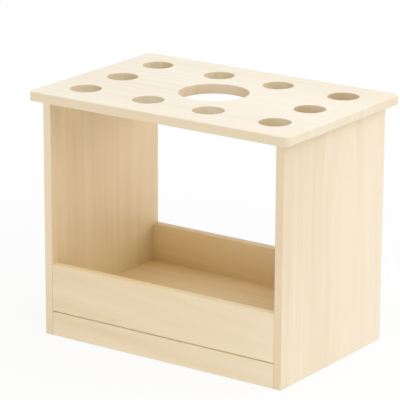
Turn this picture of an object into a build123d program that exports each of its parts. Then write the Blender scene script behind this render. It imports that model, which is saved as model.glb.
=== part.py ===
"""Paint cup cabinet: an open wooden cabinet over a fixed shallow tray.

Its top board is bored with holes for paint cups and a jar. Lengths are millimetres. +Z is up, the front
faces -Y and +X is to the right of someone who looks at it. The origin is on the ground, under the middle.
"""
import os

from build123d import *

# Overall size and stock
overall_width = 600
overall_depth = 400
overall_height = 500
board_thickness = 18
cut_overrun = 1

# Rounding of the boards
top_arris_radius = 3
arris_radius = 2
joint_easing = 4
foot_easing = 1

# Top board and its holes
top_thickness = 20
end_overhang = 20
front_overhang = 20
top_corner_radius = 10
cup_hole_diameter = 62
jar_hole_diameter = 138
hole_rim_easing = 0.5
cup_end_margin = 80
cup_front_margin = 80
cup_inner_spacing = 140

# Tray and plinth
plinth_height = 49.4
plinth_reveal = 0.6
rail_height = 98
rail_setback = 1
floor_rise = 1

# Wooden dowels, and where they stand along each joint
dowel_diameter = 8
dowel_length = 30
dowel_in_face = 11
dowel_chamfer = 1
dowel_clearance = 0.05
dowel_end_gap = 1
top_dowel_shares = (-0.4, 0.4)
rail_dowel_shares = (-0.3, 0.3)
floor_dowel_shares = (-0.37, 0.37)
plinth_dowel_shares = (-0.28, 0.28)

# Cams, and where they stand along each joint
cam_diameter = 15
cam_clearance = 0.1
cam_distance = 24
cam_below_axis = 5
cam_recess = 0.3
cam_cavity_diameter = 10.4
cam_slot_height = 4.8
cam_slot_start = -25
cam_slot_sweep = 140
cam_cross_length = 8
cam_cross_width = 1.6
cam_cross_depth = 2.6
top_cam_shares = (-0.25, 0.25)
rail_cam_shares = (0,)
floor_cam_shares = (-0.22, 0.22)

# Connecting bolts of the cams
bolt_thread_diameter = 5
bolt_thread_length = 11
bolt_thread_clearance = 0.05
bolt_end_gap = 0.5
bolt_shank_diameter = 7
bolt_neck_diameter = 4
bolt_neck_gap = 0.4
bolt_head_diameter = 6.4
bolt_head_length = 5
bolt_head_offset = 1.4
bolt_channel_diameter = 8

# Places worked out from the sizes above
panel_height = overall_height - top_thickness
panel_depth = overall_depth - 2 * front_overhang
panel_outer_x = overall_width / 2 - end_overhang
panel_inner_x = panel_outer_x - board_thickness
inside_width = 2 * panel_inner_x
rail_bottom = plinth_height + plinth_reveal
rail_middle = rail_bottom + rail_height / 2
rail_face_y = panel_depth / 2 - rail_setback
rail_middle_y = rail_face_y - board_thickness / 2
floor_depth = 2 * (rail_face_y - board_thickness)
floor_middle = rail_bottom + floor_rise + board_thickness / 2

LEFT, RIGHT = Vector(-1, 0, 0), Vector(1, 0, 0)
BACK = Vector(0, 1, 0)
DOWN, UP = Vector(0, 0, -1), Vector(0, 0, 1)


def rod(start, direction, diameter, length):
    """A cylinder that runs from a point along a direction."""
    base = Plane(origin=start, z_dir=direction)
    return base * Cylinder(diameter / 2, length, align=(Align.CENTER, Align.CENTER, Align.MIN))


class Joint:
    """The end of one board against the face of another, with the fixings that cross it.

    middle is the middle of the end that meets the face, inward points from the face into the end's board,
    along runs along the joint for a given length, and cam_side is the face that the cams are let into.
    """

    def __init__(self, middle, inward, along, length, dowel_shares, cam_shares=(), cam_side=None):
        self.inward = inward
        self.cam_side = cam_side
        self.dowel_points = [middle + along * (length * share) for share in dowel_shares]
        self.cam_points = [middle + along * (length * share) for share in cam_shares]

    def face_holes(self):
        """Blind holes in the board whose face meets the end."""
        dowel_hole = dowel_diameter + 2 * dowel_clearance
        dowel_depth = dowel_in_face + dowel_end_gap
        bolt_hole = bolt_thread_diameter + 2 * bolt_thread_clearance
        bolt_depth = bolt_thread_length + bolt_end_gap
        holes = [rod(p, -self.inward, dowel_hole, dowel_depth) for p in self.dowel_points]
        holes += [rod(p, -self.inward, bolt_hole, bolt_depth) for p in self.cam_points]
        return holes

    def end_holes(self):
        """Blind holes in the board's end, with the pockets that hold the cams."""
        dowel_hole = dowel_diameter + 2 * dowel_clearance
        dowel_depth = dowel_length - dowel_in_face + dowel_end_gap
        holes = [rod(p, self.inward, dowel_hole, dowel_depth) for p in self.dowel_points]
        for point in self.cam_points:
            cam_centre = point + self.inward * cam_distance
            pocket_top = cam_centre + self.cam_side * (board_thickness / 2 + cut_overrun)
            pocket_depth = board_thickness / 2 + cam_below_axis + cut_overrun
            holes.append(rod(point, self.inward, bolt_channel_diameter, cam_distance))
            holes.append(rod(pocket_top, -self.cam_side, cam_diameter + 2 * cam_clearance, pocket_depth))
        return holes

    def dowels(self):
        return [dowel(p - self.inward * dowel_in_face, self.inward) for p in self.dowel_points]

    def cams(self):
        return [cam(p + self.inward * cam_distance, -self.inward, self.cam_side) for p in self.cam_points]

    def bolts(self):
        return [cam_bolt(p, self.inward) for p in self.cam_points]


def dowel(start, direction):
    """A plain wooden dowel with chamfered ends."""
    pin = rod(start, direction, dowel_diameter, dowel_length)
    return chamfer(pin.edges().filter_by(GeomType.CIRCLE), dowel_chamfer)


def cam(centre, towards_bolt, towards_face):
    """A locked cam: the bolt's head lies in its hollow, and its slotted wall holds the bolt's neck."""
    height = cam_below_axis + board_thickness / 2 - cam_recess
    head_room = bolt_head_diameter + 2 * cam_clearance
    body = Pos(0, 0, -cam_below_axis) * Cylinder(
        cam_diameter / 2, height, align=(Align.CENTER, Align.CENTER, Align.MIN)
    )
    hollow = Cylinder(cam_cavity_diameter / 2, head_room)
    slot = Rot(0, 0, cam_slot_start) * Cylinder(cam_diameter, cam_slot_height, arc_size=cam_slot_sweep)
    entry = Rot(0, 0, cam_slot_start + cam_slot_sweep) * Box(
        cam_diameter, head_room, head_room, align=(Align.MIN, Align.CENTER, Align.CENTER)
    )
    face = Pos(0, 0, board_thickness / 2 - cam_recess)
    bar = Box(
        cam_cross_length, cam_cross_width, cam_cross_depth, align=(Align.CENTER, Align.CENTER, Align.MAX)
    )
    for cut in (hollow, slot, entry, face * bar, face * Rot(0, 0, 90) * bar):
        body -= cut
    return Plane(origin=centre, x_dir=towards_bolt, z_dir=towards_face) * body


def cam_bolt(joint_point, direction):
    """A connecting bolt: its thread in the face behind the joint, its shank, and its head in the cam."""
    neck_radius = bolt_neck_diameter / 2
    thread_radius = bolt_thread_diameter / 2
    shank_radius = bolt_shank_diameter / 2
    head_radius = bolt_head_diameter / 2
    neck_start = cam_distance - cam_diameter / 2 - bolt_neck_gap
    head_start = cam_distance - bolt_head_offset - bolt_head_length / 2
    head_middle = head_start + bolt_head_length / 2
    head_end = head_start + bolt_head_length
    outline = Polyline(
        (0, -bolt_thread_length),
        (thread_radius, -bolt_thread_length),
        (thread_radius, 0),
        (shank_radius, 0),
        (shank_radius, neck_start),
        (neck_radius, neck_start),
        (neck_radius, head_start),
        (head_radius, head_middle),
        (neck_radius, head_end),
        (0, head_end),
        close=True,
    )
    turned = revolve(Plane.XZ * make_face(outline), Axis.Z)
    return Plane(origin=joint_point, z_dir=direction) * turned


def end_joints(height, depth_place, along, length, dowel_shares, cam_shares=(), cam_side=None):
    """The joints at the left and right ends of a board that lies between the side panels."""
    return [
        Joint(
            Vector(side.X * panel_inner_x, depth_place, height),
            -side, along, length, dowel_shares, cam_shares, cam_side,
        )
        for side in (LEFT, RIGHT)
    ]


def side_top_joints():
    """The joints between the side panels' upper ends and the underside of the top."""
    side_middle_x = panel_inner_x + board_thickness / 2
    return [
        Joint(
            Vector(side.X * side_middle_x, 0, panel_height),
            DOWN, BACK, panel_depth, top_dowel_shares, top_cam_shares, -side,
        )
        for side in (LEFT, RIGHT)
    ]


top_joints = side_top_joints()
joints = {
    "front_rail": end_joints(
        rail_middle, -rail_middle_y, UP, rail_height, rail_dowel_shares, rail_cam_shares, BACK
    ),
    "back_rail": end_joints(
        rail_middle, rail_middle_y, UP, rail_height, rail_dowel_shares, rail_cam_shares, BACK
    ),
    "tray_floor": end_joints(
        floor_middle, 0, BACK, floor_depth, floor_dowel_shares, floor_cam_shares, DOWN
    ),
    "front_plinth": end_joints(
        plinth_height / 2, -rail_middle_y, UP, plinth_height, plinth_dowel_shares
    ),
    "back_plinth": end_joints(
        plinth_height / 2, rail_middle_y, UP, plinth_height, plinth_dowel_shares
    ),
}


def cup_places():
    """Centres of the cup holes: rows of four at the front and the back, and one at each end between."""
    outer = overall_width / 2 - cup_end_margin
    inner = cup_inner_spacing / 2
    row = overall_depth / 2 - cup_front_margin
    rows = [(x, y) for y in (-row, row) for x in (-outer, -inner, inner, outer)]
    return rows + [(-outer, 0), (outer, 0)]


def top_panel():
    """The top board, with rounded corners and arrises and its holes for the cups and the jar."""
    panel = extrude(RectangleRounded(overall_width, overall_depth, top_corner_radius), top_thickness)
    panel = fillet(panel.faces().filter_by(Axis.Z).edges(), top_arris_radius)
    through = top_thickness + 2 * cut_overrun
    bottom_align = (Align.CENTER, Align.CENTER, Align.MIN)
    places = [Pos(x, y, -cut_overrun) for x, y in cup_places()]
    holes = [place * Cylinder(cup_hole_diameter / 2, through, align=bottom_align) for place in places]
    holes.append(Pos(0, 0, -cut_overrun) * Cylinder(jar_hole_diameter / 2, through, align=bottom_align))
    panel -= holes
    rims = panel.faces().filter_by(Axis.Z).edges().filter_by(GeomType.CIRCLE)
    rims = rims.filter_by(lambda rim: rim.is_closed)
    panel = chamfer(rims, hole_rim_easing)
    panel = Pos(0, 0, panel_height) * panel
    return panel - [hole for joint in top_joints for hole in joint.face_holes()]


def side_panel(side_index):
    """A side board that runs from the ground to the top."""
    side = (LEFT, RIGHT)[side_index]
    plan = RectangleRounded(board_thickness, panel_depth, arris_radius)
    panel = extrude(plan, panel_height)
    panel = chamfer(panel.faces().sort_by(Axis.Z)[0].edges(), foot_easing)
    panel = Pos(side.X * (panel_inner_x + board_thickness / 2), 0, 0) * panel
    holes = top_joints[side_index].end_holes()
    for pair in joints.values():
        holes += pair[side_index].face_holes()
    return panel - holes


def cross_board(name, width, height, upper_radius, lower_radius, place):
    """A board between the side panels, from its rounded section."""
    section = Rectangle(width, height)
    section = fillet(section.vertices().group_by(Axis.Y)[-1], upper_radius)
    section = fillet(section.vertices().group_by(Axis.Y)[0], lower_radius)
    blank = extrude(Plane.YZ * section, inside_width / 2, both=True)
    holes = [hole for joint in joints[name] for hole in joint.end_holes()]
    return place * blank - holes


def tray_floor():
    """The tray's floor, cut square to fit between the rails and the side panels."""
    blank = Pos(0, 0, floor_middle) * Box(inside_width, floor_depth, board_thickness)
    return blank - [hole for joint in joints["tray_floor"] for hole in joint.end_holes()]


def rail(name, depth_place):
    place = Pos(0, depth_place, rail_middle)
    return cross_board(name, board_thickness, rail_height, arris_radius, joint_easing, place)


def plinth(name, depth_place):
    place = Pos(0, depth_place, plinth_height / 2)
    return cross_board(name, board_thickness, plinth_height, joint_easing, foot_easing, place)


def fixings():
    """Dowels, cams and bolts, one group of separate solids for each board."""
    groups = {}
    for board, pair in {"top": top_joints, **joints}.items():
        groups[f"{board}_dowels"] = [pin for joint in pair for pin in joint.dowels()]
        if pair[0].cam_points:
            groups[f"{board}_cams"] = [part for joint in pair for part in joint.cams()]
            groups[f"{board}_cam_bolts"] = [part for joint in pair for part in joint.bolts()]
    return {name: Compound(children=parts) for name, parts in groups.items()}


nodes = {
    "top_panel": top_panel(),
    "left_side_panel": side_panel(0),
    "right_side_panel": side_panel(1),
    "front_rail": rail("front_rail", -rail_middle_y),
    "back_rail": rail("back_rail", rail_middle_y),
    "tray_floor": tray_floor(),
    "front_plinth": plinth("front_plinth", -rail_middle_y),
    "back_plinth": plinth("back_plinth", rail_middle_y),
    **fixings(),
}

os.makedirs("parts", exist_ok=True)
for node_name, node in nodes.items():
    export_step(node, f"parts/{node_name}.step")
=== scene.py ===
"""Dresses the paint cup cabinet in clear-lacquered maple and sets it in a white studio.

Lengths are metres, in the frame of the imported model: +Z is up and the front faces -Y.
"""
import math
from functools import partial
from typing import NamedTuple

import bpy
from mathutils import Matrix, Vector


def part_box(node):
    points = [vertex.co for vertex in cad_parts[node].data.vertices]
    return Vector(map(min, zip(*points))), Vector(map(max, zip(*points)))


# Camera, fitted to the edges and holes in the photograph, with its angles in degrees
IMAGE_SIDE = 400
FOCAL_PIXELS = 2600
SENSOR_MILLIMETRES = 36
CAMERA_AZIMUTH = 34.775
CAMERA_ELEVATION = 16.50
CAMERA_ROLL = 0.25
CAMERA_DISTANCE = 5.113
AIM_HEIGHT = 0.230
AIM_RIGHT = -0.0258
AIM_UP = 0.0504

# Light: a dim white world, lamps, and a floor that glows white but keeps a faint shadow near the cabinet
WHITE = (1, 1, 1, 1)
WHITE_STRENGTH = 1
AMBIENT_STRENGTH = 0.51
FLOOR_SIDE = 60
FLOOR_WHITE = (0.93, 0.93, 0.93, 1)
FLOOR_GLOW_SHARE = 0.86
FLOOR_SHADOW_REACH = (0.6, 1.5)
LAMP_AIM = Vector((0, 0, 0.28))


class Lamp(NamedTuple):
    """A square lamp: its middle, the length of its side and its watts."""
    middle: tuple
    side: float
    watts: float


LAMPS = {
    "overhead_lamp": Lamp((0, 0, 3.4), 2.4, 30),
    "right_lamp": Lamp((2.3, -0.6, 2.7), 2.4, 28),
    "right_back_lamp": Lamp((2.3, 2.3, 1.5), 2.4, 32),
    "front_lamp": Lamp((0, -3.3, 0.75), 1.0, 17),
    "left_lamp": Lamp((-2.3, -2.3, 1.6), 2.4, 5),
}


class Board(NamedTuple):
    """How a board is cut from its log, and its tones.

    axes are the axes across, deep into and along the grain. heart is where the log's heart lies from the
    board's middle, across and deep. Next come the tones of the broad faces and of the long edges, partly
    the wood's own and partly painted light and shade for how each board is lit, and the tint of painted
    shade where other boards close the board in. Last come painted shading slopes: how much the tone of the
    faces, and of what lies across them, darkens a metre along X, Y and Z.
    """
    axes: tuple
    heart: tuple
    # The tones below are partly the wood's own and partly painted light and shade, the tint after them is
    # painted shade, and the slopes are painted shading
    face: tuple
    edge: tuple = (0.845, 0.70, 0.485)
    deep: tuple = (0.73, 0.61, 0.31)
    painted_shade_lean: tuple = (0, 0, 0)
    edge_painted_shade_lean: tuple = (0, 0, -0.8)


UPRIGHT = (1, 0, 2)
LEVEL = (1, 2, 0)
CROSSWISE = (2, 1, 0)
# Each board's tones hold painted light and shade: the top's face is paler as if lit and sheened, the boards
# seen inside are warmer as if shaded, the front rail's edge is paler against the shade under the top, the
# back rail's and plinth's edges are darker as if shaded, and the slopes darken the tone towards shade
BOARDS = {
    "top_panel": Board(
        LEVEL,
        heart=(0.46, -0.12),
        face=(0.878, 0.797, 0.65),
        edge=(0.82, 0.685, 0.485),
        painted_shade_lean=(0.2, -0.2, 0),
    ),
    "left_side_panel": Board(
        UPRIGHT,
        heart=(0.30, -0.12),
        face=(0.892, 0.703, 0.464),
        deep=(0.79, 0.82, 0.66),
        painted_shade_lean=(0, -1.0, -0.53),
    ),
    "right_side_panel": Board(
        UPRIGHT,
        heart=(0.04, -0.09),
        face=(0.867, 0.741, 0.552),
        edge=(0.805, 0.646, 0.433),
        painted_shade_lean=(0, -1.8, 1.1),
    ),
    "front_rail": Board(
        CROSSWISE,
        heart=(0.10, 0.15),
        face=(0.87, 0.725, 0.50),
        edge=(0.95, 0.785, 0.49),
        deep=(1, 1, 1),
        painted_shade_lean=(-0.65, 0, -0.6),
        edge_painted_shade_lean=(-1.5, 0, 0),
    ),
    "back_rail": Board(
        CROSSWISE,
        heart=(0.12, 0.10),
        face=(0.872, 0.716, 0.491),
        edge=(0.72, 0.547, 0.32),
        painted_shade_lean=(0.9, 0, -1.5),
    ),
    "tray_floor": Board(
        LEVEL,
        heart=(0.30, -0.15),
        face=(0.924, 0.742, 0.484),
        painted_shade_lean=(1.3, 1.5, 0),
    ),
    "front_plinth": Board(
        CROSSWISE,
        heart=(0.20, 0.15),
        face=(0.872, 0.735, 0.513),
        edge=(0.76, 0.63, 0.43),
        painted_shade_lean=(-1.0, 0, 12),
    ),
    "back_plinth": Board(
        CROSSWISE,
        heart=(0.17, 0.10),
        face=(0.87, 0.725, 0.50),
    ),
}

# Sawn ends and bored walls with painted shade: tones, and how near the outline or the top's middle they lie
END_TONE = (0.83, 0.72, 0.54, 1)
# Bored walls are partly the bare bored wood and partly painted shade of the hollow, and the jar hole is
# darker still by painted shade
CUP_HOLE_TONE_AND_SHADE = (0.80, 0.705, 0.56, 1)
JAR_HOLE_TONE_AND_SHADE = (0.775, 0.645, 0.47, 1)
EDGE_ZONE = 0.012
JAR_HOLE_ZONE = 0.1

# Where a surface passes from facing across an axis to facing along it
TURN = (0.35, 0.85)

# Painted shade where boards close in: how far off they count, and the limit below which a face doesn't look
# outwards
PAINTED_SHADE_REACH = 0.25
PAINTED_SHADE_SAMPLES = 16
OUTWARD_LIMIT = 0.001


class Noise(NamedTuple):
    """Noise by its features a metre, one number or across and along the grain, its detail and roughness."""
    scale: float | tuple
    detail: int
    roughness: float = 0.5


class Feature(NamedTuple):
    """A feature of the grain: its noise, the span of it that counts, what that becomes, and its weight."""
    noise: Noise
    span: tuple
    becomes: tuple = (-1, 1)
    weight: float = 1


# Growth: how far apart boards lie in the log, and how the rings slope, wander and ripple along it
LOG_SPACING = 2.7
HEART_TAPER = 0.05
WANDER = Noise((5, 1.3), 3)
WANDER_DEPTH = 0.045
RIPPLE = Noise((30, 5), 2)
RIPPLE_DEPTH = 0.003

# Grain and painted shading slopes, which go from a pale tint at 0 to a dark one at 1
GRAIN_AND_SHADE_PALE = (1.05, 1.09, 1.15, 1)
GRAIN_AND_SHADE_DARK = (0.95, 0.91, 0.85, 1)
GRAIN_MIDDLE = 0.5
STREAKS = Feature(Noise(55, 2), (0.32, 0.68), weight=0.21)
STREAK_FADE = Feature(Noise((12, 4), 2), (0.35, 0.65), becomes=(0.15, 1))
RINGS = Feature(Noise(330, 2), (0.40, 0.75), becomes=(-0.5, 1), weight=0.045)
FIGURE = Feature(Noise((9, 1.1), 3), (0.3, 0.7), weight=0.22)
FIBRES = Feature(Noise((700, 9), 3, roughness=0.6), (0.3, 0.7), weight=0.05)
FLECKS = Feature(Noise((420, 45), 1), (0.66, 0.74), becomes=(0, 1), weight=0.09)

# Lacquer: its gloss, and the relief of its skin, in which fibres rise and rings sink
LACQUER_IOR = 1.48
LACQUER_ROUGHNESS = 0.42
FIBRE_GLOSS_SPAN = (0.25, 0.75)
FIBRE_ROUGHNESS = (-0.05, 0.06)
RING_ROUGHNESS = 0.03
LACQUER_SKIN = Noise((240, 120), 1)
FIBRE_RELIEF = 0.5
RING_RELIEF = -0.15
LACQUER_BUMP = 0.25
LACQUER_DEPTH = 0.00012

# Dowels of beech, cut where no board is
BEECH = Board(CROSSWISE, heart=(0.2, 0.1), face=(0.65, 0.44, 0.27), edge_painted_shade_lean=(0, 0, 0))
BEECH_CUT = 20
BEECH_UPRIGHT_CUT = 21
BEECH_ROUGHNESS = 0.6


class Metal(NamedTuple):
    """A metal with a mottled skin: its tones, its roughness, its mottles and grit, and the grit's depth."""
    light: tuple
    dull: tuple
    roughness: float
    mottles: Noise
    grit: Noise
    grit_depth: float


CAST_ZINC = Metal(
    light=(0.66, 0.66, 0.65, 1),
    dull=(0.50, 0.50, 0.50, 1),
    roughness=0.42,
    mottles=Noise(700, 4, 0.6),
    grit=Noise(4200, 2),
    grit_depth=0.00006,
)
PLATED_STEEL = Metal(
    light=(0.70, 0.69, 0.66, 1),
    dull=(0.56, 0.55, 0.52, 1),
    roughness=0.30,
    mottles=Noise(500, 4, 0.6),
    grit=Noise(3000, 2),
    grit_depth=0.00002,
)
MOTTLE_SPAN = (0.3, 0.7)
MOTTLE_ROUGHNESS = (-0.07, 0.09)
GRIT_BUMP = 0.3

# Places of the Mix node's sockets for its share, first and second, and its result, by the kind of data
VALUE_MIX_INPUTS = (0, 2, 3)
VALUE_MIX_RESULT = 0
COLOUR_MIX_INPUTS = (0, 6, 7)
COLOUR_MIX_RESULT = 2

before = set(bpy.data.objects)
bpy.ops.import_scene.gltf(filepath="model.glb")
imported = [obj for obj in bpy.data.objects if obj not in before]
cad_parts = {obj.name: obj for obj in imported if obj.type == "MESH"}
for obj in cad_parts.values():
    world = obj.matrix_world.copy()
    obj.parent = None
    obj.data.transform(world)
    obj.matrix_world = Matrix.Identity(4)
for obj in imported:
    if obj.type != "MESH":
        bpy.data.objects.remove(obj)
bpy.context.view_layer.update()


def add_node(tree, kind, inputs=None, **settings):
    """A shader node with its settings, and with a value or a link in each named input."""
    made = tree.nodes.new(kind)
    for key, value in settings.items():
        setattr(made, key, value)
    for key, value in (inputs or {}).items():
        if isinstance(value, bpy.types.NodeSocket):
            tree.links.new(value, made.inputs[key])
        else:
            made.inputs[key].default_value = value
    return made


def math_node(tree, operation, *values):
    return add_node(tree, "ShaderNodeMath", dict(enumerate(values)), operation=operation).outputs[0]


def vector_math(tree, operation, values):
    return add_node(tree, "ShaderNodeVectorMath", dict(enumerate(values)), operation=operation)


def vector_node(tree, operation, *values):
    """A sum on vectors, which gives a vector."""
    return vector_math(tree, operation, values).outputs["Vector"]


def vector_value(tree, operation, *values):
    """A sum on vectors, which gives a number."""
    return vector_math(tree, operation, values).outputs["Value"]


def axis_parts(tree, vector):
    return add_node(tree, "ShaderNodeSeparateXYZ", {0: vector}).outputs


def mixed_value(tree, share, first, second):
    inputs = dict(zip(VALUE_MIX_INPUTS, (share, first, second)))
    return add_node(tree, "ShaderNodeMix", inputs, data_type="FLOAT").outputs[VALUE_MIX_RESULT]


def mixed_colour(tree, share, first, second, blend="MIX"):
    inputs = dict(zip(COLOUR_MIX_INPUTS, (share, first, second)))
    made = add_node(tree, "ShaderNodeMix", inputs, data_type="RGBA", blend_type=blend)
    return made.outputs[COLOUR_MIX_RESULT]


def mixed_shader(tree, share, first, second):
    inputs = {0: share, 1: first.outputs[0], 2: second.outputs[0]}
    return add_node(tree, "ShaderNodeMixShader", inputs).outputs[0]


def remap(tree, value, low, high, new_low, new_high):
    """A value eased from one span to another, and held at the ends."""
    inputs = {"Value": value, "From Min": low, "From Max": high, "To Min": new_low, "To Max": new_high}
    return add_node(tree, "ShaderNodeMapRange", inputs, interpolation_type="SMOOTHSTEP").outputs[0]


def new_material(name):
    """A material with a Principled shader, and its node tree."""
    material = bpy.data.materials.new(name)
    material.use_nodes = True
    tree = material.node_tree
    return material, tree, tree.nodes["Principled BSDF"]


def add_bump(tree, shader, height, strength, depth):
    bump = add_node(tree, "ShaderNodeBump", {"Strength": strength, "Distance": depth, "Height": height})
    tree.links.new(bump.outputs[0], shader.inputs["Normal"])


def object_place(tree):
    return add_node(tree, "ShaderNodeTexCoord").outputs["Object"]


def object_normal(tree):
    return add_node(tree, "ShaderNodeTexCoord").outputs["Normal"]


def turned_share(tree, axis):
    """1 on what faces along an axis, either way, and 0 on what faces across it."""
    facing = axis_parts(tree, object_normal(tree))[axis]
    return remap(tree, math_node(tree, "ABSOLUTE", facing), *TURN, 0, 1)


def even_noise(tree, place, noise):
    """Noise with as many features a metre every way."""
    inputs = {"Vector": place, "Scale": noise.scale, "Detail": noise.detail, "Roughness": noise.roughness}
    return add_node(tree, "ShaderNodeTexNoise", inputs).outputs[0]


def grain_noise(tree, place, noise):
    """Noise with so many features a metre across and along the grain."""
    across, along = noise.scale
    stretched = vector_node(tree, "MULTIPLY", place, (across, across, along))
    return even_noise(tree, stretched, noise._replace(scale=1))


def line_noise(tree, value, noise):
    """Uneven bands along one value, about as many a metre as the noise says."""
    lines = math_node(tree, "MULTIPLY", value, noise.scale)
    inputs = {"W": lines, "Scale": 1, "Detail": noise.detail, "Roughness": noise.roughness}
    return add_node(tree, "ShaderNodeTexNoise", inputs, noise_dimensions="1D").outputs[0]


def shown(tree, noise_value, feature):
    """What a feature's noise becomes."""
    return remap(tree, noise_value, *feature.span, *feature.becomes)


def growth(tree, place, heart):
    """The distance from the log's heart, which wanders along the grain and leans to the board's face."""
    heart_across, heart_deep = heart
    parts = axis_parts(tree, place)
    across = math_node(tree, "SUBTRACT", parts["X"], heart_across)
    deep = math_node(tree, "SUBTRACT", parts["Y"], heart_deep)
    deep = math_node(tree, "MULTIPLY_ADD", parts["Z"], HEART_TAPER, deep)
    flat = add_node(tree, "ShaderNodeCombineXYZ", {"X": across, "Y": deep}).outputs[0]
    radius = vector_value(tree, "LENGTH", flat)
    radius = math_node(tree, "MULTIPLY_ADD", grain_noise(tree, place, WANDER), WANDER_DEPTH, radius)
    return math_node(tree, "MULTIPLY_ADD", grain_noise(tree, place, RIPPLE), RIPPLE_DEPTH, radius)


def wood(name, board, middle, cut, tone, roughness=LACQUER_ROUGHNESS):
    """Lacquered wood: rings and streaks round the log's heart, broad figure, fine fibres and flecks.

    middle is the board's middle, cut is its place in the log, and tone gives its colour before the grain,
    which on the boards is partly painted light and shade.
    """
    material, tree, shader = new_material(name)
    here = vector_node(tree, "SUBTRACT", object_place(tree), middle)
    parts = axis_parts(tree, here)
    grain_parts = {i: parts[axis] for i, axis in enumerate(board.axes)}
    board_place = add_node(tree, "ShaderNodeCombineXYZ", grain_parts).outputs[0]
    place = vector_node(tree, "ADD", board_place, (0, 0, cut * LOG_SPACING))

    rounds = growth(tree, board_place, board.heart)
    fade = shown(tree, grain_noise(tree, place, STREAK_FADE.noise), STREAK_FADE)
    full_streaks = shown(tree, line_noise(tree, rounds, STREAKS.noise), STREAKS)
    streaks = math_node(tree, "MULTIPLY", full_streaks, fade)
    rings = shown(tree, line_noise(tree, rounds, RINGS.noise), RINGS)
    figure = shown(tree, grain_noise(tree, place, FIGURE.noise), FIGURE)
    fibre = grain_noise(tree, place, FIBRES.noise)
    fibres = shown(tree, fibre, FIBRES)
    flecks = shown(tree, grain_noise(tree, place, FLECKS.noise), FLECKS)

    _, deep_axis, _ = board.axes
    # Painted shading: the tone darkens along the board's slopes, on its faces and on what lies across them,
    # added into the grain's depth
    face_painted_shade_slope = vector_value(tree, "DOT_PRODUCT", here, board.painted_shade_lean)
    edge_painted_shade_slope = vector_value(tree, "DOT_PRODUCT", here, board.edge_painted_shade_lean)
    painted_shade_slope = mixed_value(tree, turned_share(tree, deep_axis), edge_painted_shade_slope, face_painted_shade_slope)
    depth = math_node(tree, "ADD", painted_shade_slope, GRAIN_MIDDLE)
    layers = ((streaks, STREAKS), (rings, RINGS), (figure, FIGURE), (fibres, FIBRES), (flecks, FLECKS))
    for layer, feature in layers:
        depth = math_node(tree, "MULTIPLY_ADD", layer, feature.weight, depth)
    grain_and_shade = mixed_colour(tree, depth, GRAIN_AND_SHADE_PALE, GRAIN_AND_SHADE_DARK)
    colour = mixed_colour(tree, 1, grain_and_shade, tone(tree), "MULTIPLY")
    tree.links.new(colour, shader.inputs["Base Color"])

    smoothest, roughest = (roughness + change for change in FIBRE_ROUGHNESS)
    rough = remap(tree, fibre, *FIBRE_GLOSS_SPAN, smoothest, roughest)
    rough = math_node(tree, "MULTIPLY_ADD", rings, RING_ROUGHNESS, rough)
    tree.links.new(rough, shader.inputs["Roughness"])
    shader.inputs["IOR"].default_value = LACQUER_IOR

    height = math_node(tree, "MULTIPLY_ADD", fibre, FIBRE_RELIEF, grain_noise(tree, place, LACQUER_SKIN))
    height = math_node(tree, "MULTIPLY_ADD", rings, RING_RELIEF, height)
    add_bump(tree, shader, height, LACQUER_BUMP, LACQUER_DEPTH)
    return material


def metal(name, kind):
    """Bare plated or cast metal with a mottled skin."""
    material, tree, shader = new_material(name)
    here = object_place(tree)
    mottle = even_noise(tree, here, kind.mottles)
    colour = mixed_colour(tree, remap(tree, mottle, *MOTTLE_SPAN, 0, 1), kind.light, kind.dull)
    tree.links.new(colour, shader.inputs["Base Color"])
    smoothest, roughest = (kind.roughness + change for change in MOTTLE_ROUGHNESS)
    rough = remap(tree, mottle, *MOTTLE_SPAN, smoothest, roughest)
    tree.links.new(rough, shader.inputs["Roughness"])
    add_bump(tree, shader, even_noise(tree, here, kind.grit), GRIT_BUMP, kind.grit_depth)
    shader.inputs["Metallic"].default_value = 1
    return material


def side_tone(tree, board, low, high):
    """The tone of a board's sides: long edges and sawn ends near its outline, and bored walls within, with
    painted light and shade in the edge and bored tones.
    """
    across, _, along = board.axes
    middle = (low + high) / 2
    offset = vector_node(tree, "SUBTRACT", object_place(tree), middle)
    from_middle = axis_parts(tree, offset)
    near_outline = []
    for axis in (across, along):
        reach = math_node(tree, "ABSOLUTE", from_middle[axis])
        near_outline.append(math_node(tree, "GREATER_THAN", reach, high[axis] - middle[axis] - EDGE_ZONE))
    outline_tone_and_light = mixed_colour(tree, turned_share(tree, along), (*board.edge, 1), END_TONE)
    in_jar_hole = math_node(tree, "LESS_THAN", vector_value(tree, "LENGTH", offset), JAR_HOLE_ZONE)
    bored_tone_and_shade = mixed_colour(tree, in_jar_hole, CUP_HOLE_TONE_AND_SHADE, JAR_HOLE_TONE_AND_SHADE)
    return mixed_colour(tree, math_node(tree, "MAXIMUM", *near_outline), bored_tone_and_shade, outline_tone_and_light)


def painted_shade_share(tree):
    """How far boards close a point in, by ambient occlusion, as the share of painted shade, which is 0 on
    what looks outwards, except in the top board.
    """
    here = object_place(tree)
    level = vector_node(tree, "MULTIPLY", here, (1, 1, 0))
    outward = vector_value(tree, "DOT_PRODUCT", level, object_normal(tree))
    inward = math_node(tree, "LESS_THAN", outward, OUTWARD_LIMIT)
    top_low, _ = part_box("top_panel")
    in_top = math_node(tree, "GREATER_THAN", axis_parts(tree, here)["Z"], top_low[2])
    # Ambient occlusion of the nearby boards, painted into the colour as shade
    occlusion = add_node(
        tree, "ShaderNodeAmbientOcclusion", {"Distance": PAINTED_SHADE_REACH}, samples=PAINTED_SHADE_SAMPLES
    )
    closed = math_node(tree, "SUBTRACT", 1, occlusion.outputs["AO"])
    return math_node(tree, "MULTIPLY", math_node(tree, "MAXIMUM", inward, in_top), closed)


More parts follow.
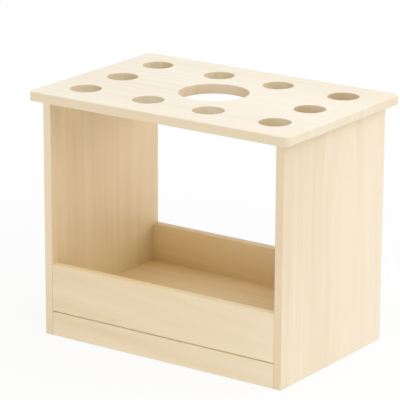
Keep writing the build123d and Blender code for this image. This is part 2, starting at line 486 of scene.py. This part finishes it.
def board_tone(tree, board, low, high):
    """A board's tone before its grain: that of its faces or sides, with painted shade where it is closed
    in.
    """
    _, deep_axis, _ = board.axes
    sides = side_tone(tree, board, low, high)
    flat = mixed_colour(tree, turned_share(tree, deep_axis), sides, (*board.face, 1))
    return mixed_colour(tree, painted_shade_share(tree), flat, (*board.deep, 1), "MULTIPLY")


def beech_tone(_tree):
    return (*BEECH.face, 1)


def give(node_name, material):
    """Puts a material on a CAD node."""
    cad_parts[node_name].material_slots[0].material = material


def dress_boards():
    """Maple on the boards, each with its own cut and tones."""
    for cut, (node_name, board) in enumerate(BOARDS.items()):
        low, high = (Vector(corner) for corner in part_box(node_name))
        tone = partial(board_tone, board=board, low=low, high=high)
        give(node_name, wood(f"maple_{node_name}", board, (low + high) / 2, cut, tone))


def dress_fixings():
    """Beech on the dowels, of which the top's stand upright, and metals on the cams and their bolts."""
    beech = partial(wood, middle=(0, 0, 0), tone=beech_tone, roughness=BEECH_ROUGHNESS)
    finishes = {
        "dowels": beech("beech", BEECH, cut=BEECH_CUT),
        "cams": metal("cast_zinc", CAST_ZINC),
        "bolts": metal("plated_steel", PLATED_STEEL),
    }
    for node_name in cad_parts:
        kind = node_name.split("_")[-1]
        if kind in finishes:
            give(node_name, finishes[kind])
    upright = BEECH._replace(axes=UPRIGHT)
    give("top_dowels", beech("beech_upright", upright, cut=BEECH_UPRIGHT_CUT))


def add_camera():
    """A camera at the photograph's viewing angle."""
    angles = (CAMERA_AZIMUTH, CAMERA_ELEVATION, CAMERA_ROLL)
    azimuth, elevation, roll = (math.radians(angle) for angle in angles)
    back = Vector((
        math.sin(azimuth) * math.cos(elevation),
        -math.cos(azimuth) * math.cos(elevation),
        math.sin(elevation),
    ))
    level_right = Vector((math.cos(azimuth), math.sin(azimuth), 0))
    level_up = back.cross(level_right)
    right = level_right * math.cos(roll) + level_up * math.sin(roll)
    up = level_up * math.cos(roll) - level_right * math.sin(roll)
    aim = Vector((0, 0, AIM_HEIGHT)) + right * AIM_RIGHT + up * AIM_UP
    data = bpy.data.cameras.new("camera")
    data.sensor_width = SENSOR_MILLIMETRES
    data.lens = FOCAL_PIXELS * SENSOR_MILLIMETRES / IMAGE_SIDE
    camera = bpy.data.objects.new("camera", data)
    turn = Matrix((right, up, back)).transposed().to_4x4()
    camera.matrix_world = Matrix.Translation(aim + back * CAMERA_DISTANCE) @ turn
    bpy.context.scene.collection.objects.link(camera)
    bpy.context.scene.camera = camera


def seen_or_reflected(tree):
    """1 for a ray from the camera, a reflection or a refraction, and 0 for diffuse light."""
    path = add_node(tree, "ShaderNodeLightPath").outputs
    mirrored = math_node(tree, "MAXIMUM", path["Is Glossy Ray"], path["Is Transmission Ray"])
    return math_node(tree, "MAXIMUM", path["Is Camera Ray"], mirrored)


def add_world():
    """A world that looks white and lights the cabinet dimly."""
    world = bpy.data.worlds.new("studio")
    world.use_nodes = True
    bpy.context.scene.world = world
    tree = world.node_tree
    tree.nodes.clear()
    ambient = add_node(tree, "ShaderNodeBackground", {"Color": WHITE, "Strength": AMBIENT_STRENGTH})
    white = add_node(tree, "ShaderNodeBackground", {"Color": WHITE, "Strength": WHITE_STRENGTH})
    both = mixed_shader(tree, seen_or_reflected(tree), ambient, white)
    add_node(tree, "ShaderNodeOutputWorld", {"Surface": both})


def add_floor():
    """A white floor, which keeps a faint shadow of the cabinet."""
    bpy.ops.mesh.primitive_plane_add(size=FLOOR_SIDE)
    floor = bpy.context.object
    floor.name = "floor"
    material = bpy.data.materials.new("floor_white")
    material.use_nodes = True
    tree = material.node_tree
    tree.nodes.clear()
    matt = add_node(tree, "ShaderNodeBsdfDiffuse", {"Color": FLOOR_WHITE})
    glow = add_node(tree, "ShaderNodeEmission", {"Color": WHITE, "Strength": WHITE_STRENGTH})
    away = vector_value(tree, "LENGTH", object_place(tree))
    glow_share = remap(tree, away, *FLOOR_SHADOW_REACH, FLOOR_GLOW_SHARE, 1)
    share = math_node(tree, "MULTIPLY", seen_or_reflected(tree), glow_share)
    add_node(tree, "ShaderNodeOutputMaterial", {"Surface": mixed_shader(tree, share, matt, glow)})
    floor.data.materials.append(material)


def add_lamps():
    """Lamps that face the cabinet."""
    for lamp_name, lamp in LAMPS.items():
        data = bpy.data.lights.new(lamp_name, "AREA")
        data.size = lamp.side
        data.energy = lamp.watts
        light = bpy.data.objects.new(lamp_name, data)
        light.location = lamp.middle
        light.rotation_mode = "QUATERNION"
        light.rotation_quaternion = (LAMP_AIM - light.location).to_track_quat("-Z", "Y")
        bpy.context.scene.collection.objects.link(light)


dress_boards()
dress_fixings()
add_camera()
add_world()
add_floor()
add_lamps()
bpy.context.scene.view_settings.view_transform = "Standard"
